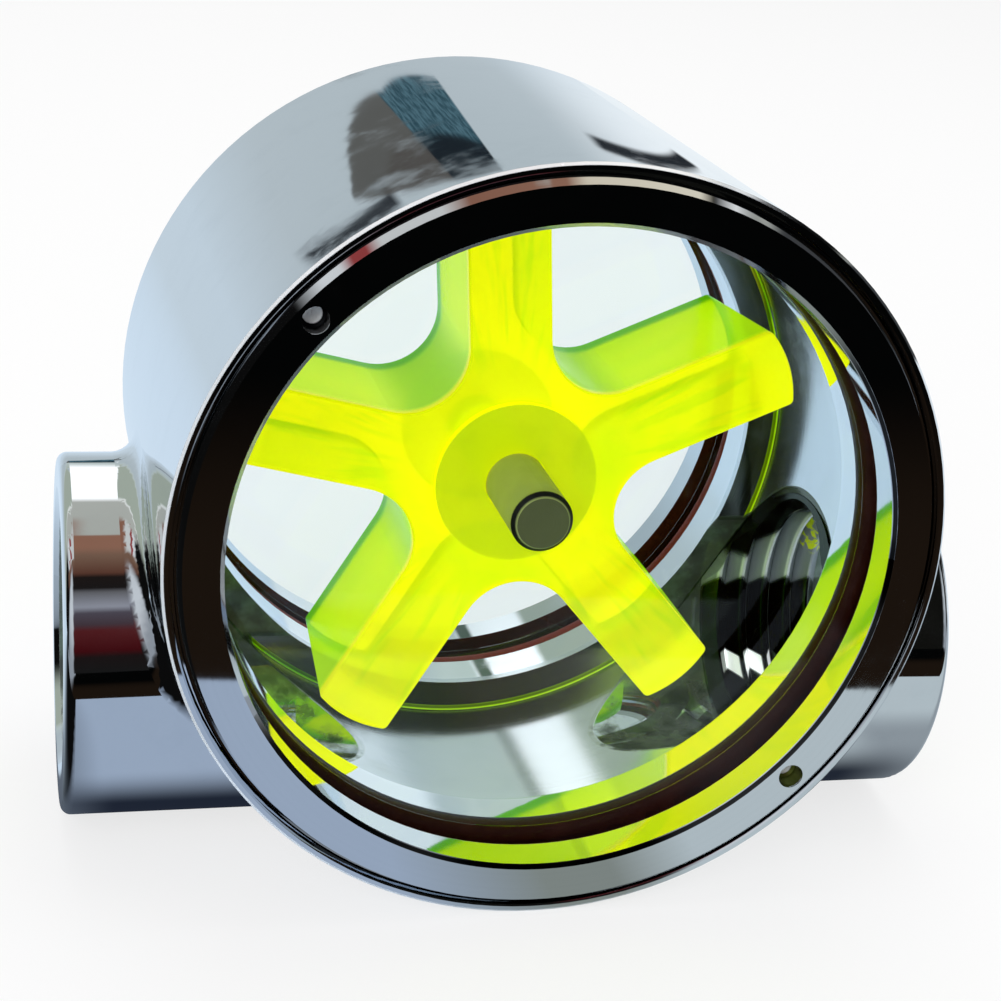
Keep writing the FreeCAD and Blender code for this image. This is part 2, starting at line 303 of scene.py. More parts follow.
class Shader:
    """Node tree of a material or of the world."""

    def __init__(self, tree):
        self.tree = tree
        tree.nodes.clear()

    def node(self, kind, settings=None, inputs=None, output=0):
        """Adds a node with its settings and its sockets' values or links, and gives one output."""
        made = self.tree.nodes.new(kind)
        for name, setting in (settings or {}).items():
            setattr(made, name, setting)
        for key, given in (inputs or {}).items():
            socket = made.inputs[key]
            if isinstance(given, Value):
                self.tree.links.new(given.socket, socket)
            elif socket.type == "RGBA" and len(given) == 3:
                socket.default_value = (*given, 1.0)
            else:
                socket.default_value = given
        return Value(self, made.outputs[output]) if made.outputs else None

    def maths(self, operation, first, second=0.0):
        """Sum, product or other operation on two values."""
        return self.node("ShaderNodeMath", {"operation": operation}, {0: first, 1: second})

    def ramp(self, place, stops):
        """Colour at a place from 0 to 1 along a row of stops, each a place and a colour."""
        made = self.node("ShaderNodeValToRGB", None, {0: place})
        elements = made.socket.node.color_ramp.elements
        while len(elements) < len(stops):
            elements.new(1.0)
        for element, (position, colour) in zip(elements, stops):
            element.position = position
            element.color = (*colour, 1.0)
        return made

    def components(self, vector):
        """X, Y and Z of a vector."""
        return [self.node("ShaderNodeSeparateXYZ", None, {0: vector}, axis) for axis in range(3)]

    def place(self):
        """Point on the piece in millimetres of its own frame."""
        point = self.node("ShaderNodeTexCoord", output="Object")
        return self.node("ShaderNodeVectorMath", {"operation": "SCALE"}, {0: point, "Scale": 1 / MM})

    def facing(self):
        """Direction the surface faces, in the piece's own frame."""
        return self.node("ShaderNodeTexCoord", output="Normal")

    def faces_along(self, low, high):
        """1 where the surface faces along the shaft and 0 where it faces across it."""
        return self.step(abs(self.components(self.facing())[1]), low, high)

    def step(self, value, low, high):
        """Smooth rise from 0 to 1 as a value goes from low to high."""
        return self.node("ShaderNodeMapRange", {"interpolation_type": "SMOOTHSTEP"},
                         {"Value": value, "From Min": low, "From Max": high})

    def band(self, value, low, high, soft):
        """1 between two values, with soft edges."""
        return self.step(value, low - soft, low + soft) * self.step(value, high + soft, high - soft)

    def noise(self, vector, scale, detail=3.0, roughness=0.5):
        """Cloudy noise with a scale per millimetre, about 0 to 1."""
        return self.node("ShaderNodeTexNoise", None,
                         {"Vector": vector, "Scale": scale, "Detail": detail, "Roughness": roughness})

    def stretched(self, vector, x, y, z):
        """Vector with each axis scaled on its own."""
        return self.node("ShaderNodeVectorMath", {"operation": "MULTIPLY"}, {0: vector, 1: (x, y, z)})

    def mix(self, mask, under, over):
        """Colour that goes from under to over as the mask goes from 0 to 1."""
        return self.node("ShaderNodeMix", {"data_type": "RGBA"}, {0: mask, 6: under, 7: over}, 2)

    def blend(self, mask, under, over):
        """Shader that goes from under to over as the mask goes from 0 to 1."""
        return self.node("ShaderNodeMixShader", None, {0: mask, 1: under, 2: over})

    def see_through(self, tint):
        """Clear shader that only tints what is behind it."""
        return self.node("ShaderNodeBsdfTransparent", None, {"Color": tint})

    def shine(self, colour):
        """Shader that gives off a colour."""
        return self.node("ShaderNodeEmission", None, {"Color": colour})

    def ray(self, kind):
        """1 for rays of one kind, as the Light Path node names it."""
        return self.node("ShaderNodeLightPath", output=kind)

    def bump(self, height, depth, inputs=None):
        """Surface normal with a relief of a depth in metres."""
        return self.node("ShaderNodeBump", None, {"Distance": depth, "Height": height, **(inputs or {})})

    def round_normal(self, point, inward, outward):
        """Normal straight at or from the shaft's axis where a mask is 1, and the mesh's own elsewhere."""
        normal = self.facing()
        for mask, side in ((inward, -1.0), (outward, 1.0)):
            radial = self.node("ShaderNodeVectorMath", {"operation": "NORMALIZE"},
                               {0: self.stretched(point, side, 0.0, side)})
            normal = self.node("ShaderNodeMix", {"data_type": "VECTOR"}, {0: mask, 4: normal, 5: radial}, 1)
        to_world = {"vector_type": "NORMAL", "convert_from": "OBJECT", "convert_to": "WORLD"}
        return self.node("ShaderNodeVectorTransform", to_world, {0: normal})

    def principled(self, inputs):
        """Principled shader with the given sockets."""
        return self.node("ShaderNodeBsdfPrincipled", None, inputs)

    def finish(self, surface, kind="ShaderNodeOutputMaterial"):
        """Shows a shader as the tree's result."""
        self.node(kind, None, {"Surface": surface})


def new_material(name):
    """Empty node material and its shader tree."""
    material = bpy.data.materials.new(name)
    material.use_nodes = True
    return material, Shader(material.node_tree)


def new_mesh(name, grid):
    """Mesh that takes over what a bmesh grid holds."""
    mesh = bpy.data.meshes.new(name)
    grid.to_mesh(mesh)
    grid.free()
    return mesh


def new_object(name, data):
    """Object in the scene that shows a mesh, a lamp or a camera."""
    made = bpy.data.objects.new(name, data)
    bpy.context.scene.collection.objects.link(made)
    return made


def dress(node_names, material):
    """Gives CAD nodes a finish in the slots they came with."""
    for name in node_names:
        for slot in frame["nodes"][name].material_slots:
            slot.material = material


def round_the_shaft(shader, point):
    """Distance from the shaft's axis and depth along it, both in millimetres."""
    x, depth, z = shader.components(point)
    return (x * x + z * z) ** 0.5, depth


def round_the_ports(shader, point):
    """Distance from the ports' common axis and height above it, both in millimetres."""
    _, depth, z = shader.components(point)
    up = z - PORT_HEIGHT
    return (depth * depth + up * up) ** 0.5, up


def turning_lines(shader, radius, depth, scale, detail):
    """Fine rings that a cutting tool leaves round the shaft's axis."""
    across = shader.node("ShaderNodeCombineXYZ", None, {0: radius * scale, 1: depth * scale})
    return shader.noise(across, 1.0, detail)


def plating_marks(shader, point, settings):
    """Roughness and ripple height that all the plating shares."""
    cloud = shader.noise(point, 0.22, 4.0, 0.6)
    smudge = shader.step(cloud, 0.52, 0.75)
    ripple = shader.noise(point, 0.35, 1.0) * 0.22 + shader.noise(point, 1.6, 2.0) * 0.02
    return settings.polish + smudge * settings.smudge, ripple


def body_plating(settings):
    """Bright plating, duller in the chamber, with painted shade at ports, lip and flanges and a painted
    highlight.
    """
    material, shader = new_material("bright_body_plating")
    point = shader.place()
    x, _, z = shader.components(point)
    radius, depth = round_the_shaft(shader, point)
    from_ports, up = round_the_ports(shader, point)
    away = abs(depth)
    roughness, ripple = plating_marks(shader, point, settings)
    ripple = ripple * (0.25 + shader.step(x, -5.5, -8.5) * 0.75)
    lines = turning_lines(shader, radius, depth, 5.0, 3.0)
    # Cloudy noise: haze on the body, and patches in the painted shade round the ports.
    stain_and_shade = shader.noise(point, 0.35, 5.0, 0.65)

    # Painted shade and a painted reflection of the seal: dark red-brown, less metallic bore wall behind each
    # window's flange.
    bore = shader.step(radius, BORE_RADIUS + 0.15, BORE_RADIUS + 0.05)
    behind_flange = bore * shader.band(depth, -FLANGE_FACE, -SEAL_INNER, 0.05)
    behind_flange = behind_flange + bore * shader.band(depth, SEAL_INNER, SEAL_OUTER, 0.05)
    # Painted highlight: pale, less metallic and rougher on the left part of each end chamfer.
    rim_highlight = shader.step(radius, BODY_RADIUS - 0.15, BODY_RADIUS - 0.11)
    rim_highlight = rim_highlight * shader.step(away, BODY_FACE - 0.14, BODY_FACE - 0.10) * shader.step(x, 9.0, 3.0)
    crown = shader.band(radius, BODY_RADIUS - 0.05, BODY_RADIUS + 0.05, 0.01)
    crown = crown * shader.step(away, BODY_FACE - 0.25, BODY_FACE - 0.35) * shader.step(z, 2.0, 4.0)

    inside = shader.step(away, SEAL_INNER, SEAL_INNER - 0.1)
    chamber = inside * shader.step(radius, CHAMBER_RADIUS + 0.15, CHAMBER_RADIUS + 0.05)
    wall = inside * shader.band(radius, CHAMBER_RADIUS - 0.05, CHAMBER_RADIUS + 0.05, 0.01)
    # Painted shade on the rear lip's face and in the chamber's rear corner.
    lip = shader.band(depth, REAR_LIP - 0.03, REAR_LIP + 0.05, 0.02)
    lip = lip * shader.step(radius, VIEW_RADIUS + 0.06, VIEW_RADIUS + 0.10)
    corner = shader.band(depth, REAR_LIP - 0.14, REAR_LIP - 0.03, 0.02)
    corner = corner * shader.step(radius, CHAMBER_RADIUS - 0.30, CHAMBER_RADIUS - 0.24)
    # Painted shade on the chamber wall low round the ports and on the ports' own walls, lighter low down in
    # cloudy patches.
    by_port = wall * shader.step(abs(x), 9.0, 12.5) * shader.step(from_ports, 10.5, 7.0)
    by_port = by_port * shader.step(up, 3.5, 1.5) * (0.55 + stain_and_shade * 0.4)
    low = shader.step(up, -5.0, -6.2)
    in_port = shader.band(from_ports, PORT_RADIUS - 0.08, PORT_RADIUS + 0.37, 0.02)
    in_port = in_port * (0.9 - low * shader.step(stain_and_shade, 0.35, 0.55) * 0.8)
    port_shade = chamber * by_port + in_port
    # Painted light: lighter cloudy patches below the ports' upper parts, which stay in painted shade.
    lit_patches = shader.step(stain_and_shade, 0.4, 0.65) * shader.step(up, 4.0, 2.0)

    tone = shader.mix(shader.step(stain_and_shade, 0.45, 0.85) * 0.25, settings.colour, settings.haze)
    tone = shader.mix(chamber * (lip * 0.6 + corner * 0.8), tone, settings.stain_and_shade)
    tone = shader.mix(port_shade, tone, shader.mix(lit_patches, settings.stain_and_shade, settings.lit_patches))
    tone = shader.mix(rim_highlight, tone, settings.rim_highlight)
    shader.finish(shader.principled({
        "Base Color": shader.mix(behind_flange, tone, settings.seal_shade),
        "Metallic": 1 - behind_flange * 0.7 - rim_highlight * 0.7 - port_shade * 0.55,
        "Roughness": roughness + behind_flange * 0.3 + chamber * (0.07 + lines * 0.10) + rim_highlight * 0.2,
        "Normal": shader.bump(ripple + chamber * lines * 0.25, PLATING_RELIEF,
                              {"Normal": shader.round_normal(point, wall, crown)}),
    }))
    return material


def ring_plating(settings):
    """Bright plating, fine turning lines, and painted light and shade on its edges and drilled spanner holes.
    """
    material, shader = new_material("bright_ring_plating")
    point = shader.place()
    x, _, z = shader.components(point)
    radius, depth = round_the_shaft(shader, point)
    away = abs(depth)
    roughness, ripple = plating_marks(shader, point, settings)
    lines = turning_lines(shader, radius, depth, 9.0, 2.0)

    # Spanner holes: painted shade on the left walls, a painted yellow reflection on the right walls, a
    # painted white highlight at the drill points.
    across_holes = shader.band(radius, SPANNER_RADIUS - 0.7, SPANNER_RADIUS + 0.7, 0.02)
    hole_wall = across_holes * shader.band(away, RING_FACE - SPANNER_DEPTH, RING_FACE - 0.12, 0.02)
    hole_tip_highlight = across_holes * shader.band(away, RING_SEAT + 0.2, RING_FACE - SPANNER_DEPTH, 0.02)
    # Painted highlight: a pale, less metallic band on the lower right of the outer chamfer.
    edge_highlight = shader.step(radius, COLLAR_RADIUS - 0.23, COLLAR_RADIUS - 0.20)
    edge_highlight = edge_highlight * shader.step(away, RING_FACE - 0.45, RING_FACE - 0.40) * shader.step(x - z, 19.0, 22.0)
    bevel = shader.band(radius, VIEW_RADIUS + 0.03, VIEW_RADIUS + 0.19, 0.01)
    bevel = bevel * shader.step(away, RING_FACE - 0.22, RING_FACE - 0.19) * shader.step(x - z, -2.0, 4.0)
    # Painted shade with the seal's red in it, on the ring's side against the window's flange.
    seat_shade = shader.step(away, RING_SEAT + 0.06, RING_SEAT + 0.02)
    # Less metallic where light and shade are painted in.
    dull = (edge_highlight + seat_shade) * 0.7 + hole_tip_highlight

    tone = shader.mix(lines * 0.3, settings.colour, settings.turned)
    tone = shader.mix(edge_highlight, tone, settings.edge_highlight)
    tone = shader.mix(bevel, tone, settings.bevel)
    tone = shader.mix(seat_shade, tone, settings.seat_shade)
    hole_tone = shader.mix(shader.step(x, -2.0, 2.0), settings.hole_left_shade, settings.hole_right_reflection)
    tone = shader.mix(hole_tip_highlight, shader.mix(hole_wall, tone, hole_tone), WHITE)
    shader.finish(shader.principled({
        "Base Color": tone,
        "Metallic": 1 - dull,
        "Roughness": roughness + lines * 0.015 + (dull + hole_wall) * 0.3,
        "Normal": shader.bump(ripple + lines * 0.03, RING_RELIEF),
    }))
    return material


def thread_plating(settings):
    """Thinner plating in the ports: painted light on upper flanks and crests, painted shade below, painted
    glints.
    """
    material, shader = new_material("tapped_thread_plating")
    point = shader.place()
    out = abs(shader.components(point)[0])
    from_axis, up = round_the_ports(shader, point)
    roughness, ripple = plating_marks(shader, point, settings)
    drag = shader.noise(shader.stretched(point, 7.0, 0.6, 0.6), 1.0, 3.0)

    # Painted light on the upper flanks and crests; painted shade below them, at the top and in a slanting
    # shadow from the boss.
    crest = shader.step(from_axis, CREST_RADIUS + 0.20, CREST_RADIUS + 0.06)
    above = shader.step(up + (from_axis - CREST_RADIUS - 0.4) * 0.9, -0.75, -0.35) * shader.step(up, 4.9, 4.0)
    shaded = 0.9 + (out - 16.3).at_least(0.0) * 1.47
    above = above * shader.step(up - shaded, 0.5, -0.2)
    # Painted glints low in the thread, and painted reflections of the yellow impeller as specks near the
    # mouth.
    glint = shader.band(up, -5.1, -4.3, 0.06) * (1 - crest) * shader.band(out, 15.1, 17.8, 0.1)
    reflected_specks = shader.band(out, 19.2, 21.4, 0.1) * shader.band(up, 1.2, 4.4, 0.2)
    reflected_specks = reflected_specks * shader.step(shader.noise(point, 2.4), 0.50, 0.56)

    tone = shader.mix(above, settings.stain_and_shade, shader.mix(drag, settings.thread, settings.dragged))
    tone = shader.mix(above * crest + glint, tone, settings.crest)
    tone = shader.mix(reflected_specks, tone, settings.reflected_specks)
    shader.finish(shader.principled({
        "Base Color": tone,
        "Emission Color": shader.mix(glint, BLACK, WHITE),
        "Emission Strength": settings.glint,
        "Metallic": 1 - above * 0.6 - (glint + reflected_specks) * 0.9,
        "Roughness": roughness + 0.06 + drag * 0.10 + above * 0.25,
        "Normal": shader.bump(ripple + drag * 0.1, PLATING_RELIEF),
    }))
    return material


def sheet_gloss(shader, ior):
    """Share of light that a face throws back, with no mirror inside the flat faces of a sheet."""
    round_wall = shader.node("ShaderNodeFresnel", None, {"IOR": ior})
    head_on = ((ior - 1) / (ior + 1)) ** 2
    grazing = shader.node("ShaderNodeLayerWeight", None, {"Blend": 0.5}, "Facing")
    flat_face = grazing ** 5.0 * (1 - head_on) + head_on
    return round_wall + (flat_face - round_wall) * shader.faces_along(0.90, 0.98)


def clear_acrylic(settings):
    """See-through sheet whose gloss grows at grazing angles, with faint finger marks."""
    material, shader = new_material("clear_window_acrylic")
    point = shader.place()
    radius, depth = round_the_shaft(shader, point)
    mark = shader.step(shader.noise(point, 0.16, 5.0, 0.7), 0.55, 0.8)
    hair = shader.step(shader.noise(shader.stretched(point, 0.25, 0.25, 3.5), 1.0, 4.0), 0.66, 0.74)
    polish = shader.noise(point, 0.4, 3.0) * 0.05 + 0.01

    outside_socket = shader.step(radius, SHAFT_RADIUS + 0.1, SHAFT_RADIUS + 0.3)
    by_front_seal = shader.band(depth, -SEAL_OUTER, 0.85 - SEAL_OUTER, 0.05)
    by_rear_seal = shader.band(depth, SEAL_INNER, SEAL_OUTER, 0.05)
    front_corner = shader.band(depth, FRONT_LIP - 0.25, FRONT_LIP + 0.05, 0.02)
    rear_corner = shader.band(depth, REAR_LIP - 0.05, REAR_LIP + 0.25, 0.02)
    at_edge = by_front_seal + by_rear_seal + front_corner + rear_corner
    hidden = at_edge * shader.step(radius, VIEW_RADIUS - 0.30, VIEW_RADIUS - 0.25)
    share = sheet_gloss(shader, settings.ior) + (mark + hair) * settings.smudge
    gloss = shader.principled({
        "Base Color": settings.gloss,
        "Metallic": 1.0,
        "Roughness": polish + mark * 0.15,
        "Normal": shader.bump(shader.noise(point, 0.3, 2.0), WINDOW_RELIEF),
    })
    through = shader.see_through(settings.tint)
    shader.finish(shader.blend(share * outside_socket * (1 - hidden), through, gloss))
    return material


def seal_rubber(settings):
    """Dark red-brown rubber with a bloom on its skin, painted darker in front and lighter at the back."""
    material, shader = new_material("seal_rubber_skin")
    point = shader.place()
    depth = shader.components(point)[1]
    grain = shader.noise(point, 6.0, 4.0, 0.6)
    bloom = shader.step(shader.noise(point, 0.5, 3.0), 0.45, 0.8)
    # Painted shade on the front seal and painted light on the rear one.
    rubber = shader.mix(shader.step(depth, -1.0, 1.0), settings.front, settings.rear)
    shader.finish(shader.principled({
        "Base Color": shader.mix(bloom * 0.2, rubber, settings.bloom),
        "Roughness": settings.roughness + grain * 0.2,
        "Specular IOR Level": settings.sheen,
        "Normal": shader.bump(grain, RUBBER_RELIEF),
    }))
    return material


def fluorescent_plastic(settings):
    """Clear yellow-green moulding that glows by painted light; painted shade on its pale sides and green far
    edges.
    """
    material, shader = new_material("fluorescent_moulding")
    point = shader.place()
    x, _, z = shader.components(point)
    radius, depth = round_the_shaft(shader, point)
    flat = shader.faces_along(0.55, 0.95)
    side = 1 - flat
    # Painted light and shade by where the surface faces: sides darker towards the back, in the corners and at
    # the far edges, brighter near the front and at the tips.
    far_edge_shade = side * shader.step(depth, IMPELLER_REAR - 2.0, IMPELLER_REAR - 1.1)
    near_edge_highlight = side * shader.step(depth, IMPELLER_FRONT + 1.3, IMPELLER_FRONT + 0.7)
    deep_shade = side * shader.step(depth, IMPELLER_REAR - 5.5, IMPELLER_REAR - 1.0)
    root = side * shader.step(radius, 8.0, 5.5)
    hub = flat * shader.step(radius, HUB_RADIUS + 0.10, HUB_RADIUS - 0.05)
    tip_highlight = flat * shader.step(radius, 12.4, 13.6)

    grain = shader.noise(point, 3.0, 3.0)
    outward = {0: x / radius * 11.0, 1: radius * 0.12, 2: z / radius * 11.0}
    along = shader.node("ShaderNodeCombineXYZ", None, outward)
    streak = shader.step(shader.noise(along, 1.0, 3.0, 0.6), 0.46, 0.62) * shader.step(radius, 5.0, 8.0)
    swirl = shader.step(shader.noise(point, 0.30, 4.0, 0.55), 0.45, 0.70)

    tone = shader.mix(flat, settings.shaded_flank, settings.face)
    tone = shader.mix(streak * 0.5 + swirl * 0.25, tone, settings.flow)
    tone = shader.mix(tip_highlight * 0.7, tone, settings.tip_highlight)
    tone = shader.mix(deep_shade * 0.5, tone, settings.deep_shade)
    tone = shader.mix(root * 0.8, tone, settings.root)
    tone = shader.mix(far_edge_shade * 0.95, tone, settings.rear)
    tone = shader.mix(near_edge_highlight * 0.8, tone, settings.face)
    tone = shader.mix(hub, tone, shader.mix(swirl * 0.4, settings.hub, settings.swirl))
    moulding = shader.principled({
        "Base Color": tone,
        "Roughness": settings.roughness + grain * 0.10,
        # Painted light: the colours, painted shade included, shine on their own.
        "Emission Color": tone,
        "Emission Strength": settings.painted_glow,
        "Specular IOR Level": settings.sheen,
        "Normal": shader.bump(grain, PLASTIC_RELIEF),
    })
    through_side = shader.see_through(settings.side_tint)
    through_face = shader.see_through(settings.face_tint)
    body = settings.side_body + flat * (settings.face_body - settings.side_body) + hub * 0.35
    share = body + far_edge_shade * 0.5 + near_edge_highlight * 0.35 + root * 0.4 + tip_highlight * 0.3
    shader.finish(shader.blend(share, shader.blend(flat, through_side, through_face), moulding))
    return material


def turned_steel(settings):
    """Dull steel with fine lathe lines round the pin, and painted shade on its ends and at their corners."""
    material, shader = new_material("turned_shaft_steel")
    point = shader.place()
    radius, depth = round_the_shaft(shader, point)
    lines = turning_lines(shader, radius, depth, 12.0, 3.0)
    stain_and_shade = shader.noise(point, 1.2, 4.0)
    # Painted shade: flat ends darker than the sides, and a dark ring round each end.
    end = shader.faces_along(0.6, 0.9)
    corner = shader.step(abs(depth), SHAFT_END - 0.40, SHAFT_END - 0.25)
    corner = corner * shader.step(radius, SHAFT_RADIUS - 0.22, SHAFT_RADIUS - 0.14)
    tone = shader.mix(stain_and_shade * 0.3, shader.mix(end, settings.colour, settings.end), settings.stain_and_shade)
    shader.finish(shader.principled({
        "Base Color": shader.mix(corner, tone, settings.corner),
        "Metallic": settings.metal,
        "Roughness": settings.roughness + lines * 0.15,
        "Normal": shader.bump(lines, STEEL_RELIEF),
    }))
    return material


class INDICATOR_OT_body(bpy.types.Operator):
    """Plate the body"""
    bl_idname = "indicator.body"
    bl_label = "Body plating"

    def execute(self, context):
        dress(["body"], body_plating(context.scene.indicator_plating))
        return {"FINISHED"}


class INDICATOR_OT_rings(bpy.types.Operator):
    """Plate the front and rear retaining rings"""
    bl_idname = "indicator.rings"
    bl_label = "Retaining ring plating"

    def execute(self, context):
        dress(["front_retaining_ring", "rear_retaining_ring"], ring_plating(context.scene.indicator_plating))
        return {"FINISHED"}


class INDICATOR_OT_windows(bpy.types.Operator):
    """Make the front and rear windows clear"""
    bl_idname = "indicator.windows"
    bl_label = "Clear windows"

    def execute(self, context):
        dress(["front_window", "rear_window"], clear_acrylic(context.scene.indicator_windows))
        return {"FINISHED"}


class INDICATOR_OT_seals(bpy.types.Operator):
    """Give the seals their rubber"""
    bl_idname = "indicator.seals"
    bl_label = "Rubber seals"

    def execute(self, context):
        dress(["front_o_ring", "rear_o_ring"], seal_rubber(context.scene.indicator_seals))
        return {"FINISHED"}


class INDICATOR_OT_impeller(bpy.types.Operator):
    """Give the impeller its fluorescent plastic"""
    bl_idname = "indicator.impeller"
    bl_label = "Impeller plastic"

    def execute(self, context):
        dress(["impeller"], fluorescent_plastic(context.scene.indicator_plastic))
        return {"FINISHED"}


class INDICATOR_OT_shaft(bpy.types.Operator):
    """Give the shaft its turned steel"""
    bl_idname = "indicator.shaft"
    bl_label = "Shaft steel"

    def execute(self, context):
        dress(["shaft"], turned_steel(context.scene.indicator_shaft))
        return {"FINISHED"}


def ridge_section(distance, mount, settings):
    """Corners of the ridge where it crosses a distance along the port, as (distance, radius)."""
    wall = mount["dims"]["r_mm"] * MM
    half = mount["dims"]["length_mm"] * MM / 2
    middle = abs(mount["pos_m"][0])
    mouth, threaded_end = middle + half, middle - half
    half_foot = settings.foot * settings.pitch / 2
    half_crest = settings.crest * settings.pitch / 2
    groove = wall - 2 * settings.skin
    run_in = min((mouth - distance) / settings.pitch, 1.0)
    crest = groove - settings.ridge * run_in
    in_relief = distance + half_foot < threaded_end - settings.skin
    back = wall - settings.skin + (settings.relief if in_relief else 0.0)
    return [
        (distance - half_foot, groove),
        (distance - half_crest, crest),
        (distance + half_crest, crest),
        (distance + half_foot, groove),
        (distance + half_foot, back),
        (distance - half_foot, back),
    ]


def thread_mesh(mount, settings):
    """Helical ridge of one port as a closed sweep, from the mouth inwards."""
    side = math.copysign(1.0, mount["axis"][0])
    height = mount["pos_m"][2]
    outer = abs(mount["pos_m"][0]) + mount["dims"]["length_mm"] * MM / 2 - settings.foot * settings.pitch / 2
    inner = settings.inner_end
    count = math.ceil((outer - inner) / settings.pitch * settings.segments)
    grid = bmesh.new()
    sections = []
    for index in range(count + 1):
        distance = outer - index * settings.pitch / settings.segments
        angle = 2 * math.pi * distance / settings.pitch
        sections.append([
            grid.verts.new((side * along, side * radius * math.cos(angle), height + radius * math.sin(angle)))
            for along, radius in ridge_section(distance, mount, settings)])
    for section, following in zip(sections, sections[1:]):
        for corner, _ in enumerate(section):
            grid.faces.new((section[corner - 1], section[corner], following[corner], following[corner - 1]))
    grid.faces.new(sections[0])
    grid.faces.new(sections[-1])
    bmesh.ops.recalc_face_normals(grid, faces=grid.faces)
    return new_mesh(mount["name"] + "_thread", grid)


def chamber_cutter(settings):
    """Round chamber as a solid, to cut the threads off where they meet it."""
    grid = bmesh.new()
    bmesh.ops.create_cone(
        grid, cap_ends=True, segments=4 * settings.segments,
        radius1=settings.chamber, radius2=settings.chamber,
        depth=BODY_HIGH.y - BODY_LOW.y, matrix=Matrix.Rotation(math.pi / 2, 4, "X"))
    return new_object("chamber_cutter", new_mesh("chamber_cutter", grid))


def cut_by(piece, cutter):
    """Replaces a piece's mesh by what is left of it outside a cutter."""
    cut = piece.modifiers.new("chamber", "BOOLEAN")
    cut.operation = "DIFFERENCE"
    cut.solver = "EXACT"
    cut.object = cutter
    bpy.context.view_layer.update()
    depsgraph = bpy.context.evaluated_depsgraph_get()
    whole = piece.data
    name = whole.name
    trimmed = bpy.data.meshes.new_from_object(piece.evaluated_get(depsgraph))
    piece.modifiers.clear()
    piece.data = trimmed
    bpy.data.meshes.remove(whole)
    trimmed.name = name


def shade_by_angle(mesh, limit):
    """Smooth shading, with edges sharper than the limit kept crisp."""
    grid = bmesh.new()
    grid.from_mesh(mesh)
    for face in grid.faces:
        face.smooth = True
    for edge in grid.edges:
        edge.smooth = edge.calc_face_angle(0.0) < limit
    grid.to_mesh(mesh)
    grid.free()


class INDICATOR_OT_threads(bpy.types.Operator):
    """Cut a pipe thread inside each port"""
    bl_idname = "indicator.threads"
    bl_label = "Port threads"

    def execute(self, context):
        settings = context.scene.indicator_thread
        plating = thread_plating(context.scene.indicator_plating)
        cutter = chamber_cutter(settings)
        for mount in PORTS:
            name = mount["name"] + "_thread"
            piece = new_object(name, thread_mesh(mount, settings))
            cut_by(piece, cutter)
            shade_by_angle(piece.data, SHARP_EDGE)
            piece.data.materials.clear()
            piece.data.materials.append(plating)
            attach(piece, "housing")
        bpy.data.objects.remove(cutter)
        return {"FINISHED"}


# Colours of the studio that polished metal mirrors.
HORIZON = (0.60, 0.70, 0.78)
LAMP_RIGHT = (0.57, 0.64, 0.60)
LAMP_LEFT = (0.40, 0.45, 0.38)
LAMP_GAP = (0.10, 0.14, 0.11)
FRONT_WALL = (0.006, 0.006, 0.005)
FRONT_CEILING = (0.180, 0.095, 0.065)
LEFT_CURTAIN = (0.004, 0.004, 0.004)
SIDE_WALL = (0.34, 0.37, 0.41)
SIDE_CEILING = (0.66, 0.70, 0.74)
RIGHT_WALL = (0.88, 0.94, 0.98)
RIGHT_CURTAIN = (0.050, 0.052, 0.055)
WEDGE = (0.020, 0.024, 0.030)
OLIVE_FAR = (0.108, 0.110, 0.104)
OLIVE_NEAR = (0.085, 0.080, 0.074)
TEAL_DARK = (0.030, 0.072, 0.095)
TEAL_PALE = (0.084, 0.170, 0.212)
TEAL_NEAR = (0.012, 0.018, 0.024)
STUDIO_ARC = [
    (0.00, (0.010, 0.010, 0.010)),
    (0.05, (0.012, 0.008, 0.008)),
    (0.07, (0.055, 0.004, 0.006)),
    (0.14, (0.090, 0.014, 0.016)),
    (0.16, (0.060, 0.040, 0.050)),
    (0.20, (0.080, 0.070, 0.090)),
    (0.22, (0.300, 0.310, 0.360)),
    (0.27, (0.130, 0.130, 0.140)),
    (0.285, (0.012, 0.010, 0.010)),
    (0.325, (0.014, 0.010, 0.009)),
    (0.34, (0.110, 0.045, 0.030)),
    (0.40, (0.190, 0.110, 0.075)),
    (0.45, (0.220, 0.130, 0.090)),
    (0.465, (0.440, 0.450, 0.410)),
    (0.63, (0.470, 0.480, 0.440)),
    (0.65, (1.350, 1.350, 1.350)),
    (0.84, (1.350, 1.350, 1.350)),
    (0.86, (0.550, 0.620, 0.600)),
    (0.89, (0.470, 0.540, 0.570)),
    (0.95, (0.500, 0.570, 0.610)),
    (1.00, HORIZON),
]
CEILING_PANELS = [
    (0.10, (0.004, 0.004, 0.004)),
    (0.14, (0.700, 0.720, 0.730)),
    (0.17, (0.700, 0.720, 0.730)),
    (0.19, (0.300, 0.050, 0.050)),
    (0.215, (0.300, 0.050, 0.050)),
    (0.24, (0.620, 0.630, 0.620)),
    (0.35, (0.620, 0.630, 0.620)),
    (0.40, (0.260, 0.120, 0.080)),
    (0.575, (0.300, 0.150, 0.100)),
    (0.61, (0.720, 0.640, 0.500)),
    (0.79, (0.780, 0.720, 0.580)),
    (0.81, (0.006, 0.006, 0.006)),
    (0.84, (0.900, 0.900, 0.900)),
    (0.87, (0.006, 0.006, 0.006)),
]


def lamp_arc(shader, x, lift):
    """Studio from the front over the top to the back, with a lamp that has a dark gap at its right."""
    tone = shader.ramp(lift, STUDIO_ARC)
    lamp = shader.step(lift, 0.63, 0.66) * shader.step(lift, 0.87, 0.85)
    tone = shader.mix(lamp * shader.step(x, 0.135, 0.155), tone, LAMP_RIGHT)
    tone = shader.mix(lamp * shader.step(x, -0.05, -0.08), tone, LAMP_LEFT)
    return shader.mix(lamp * shader.band(x, 0.10, 0.14, 0.008), tone, LAMP_GAP)


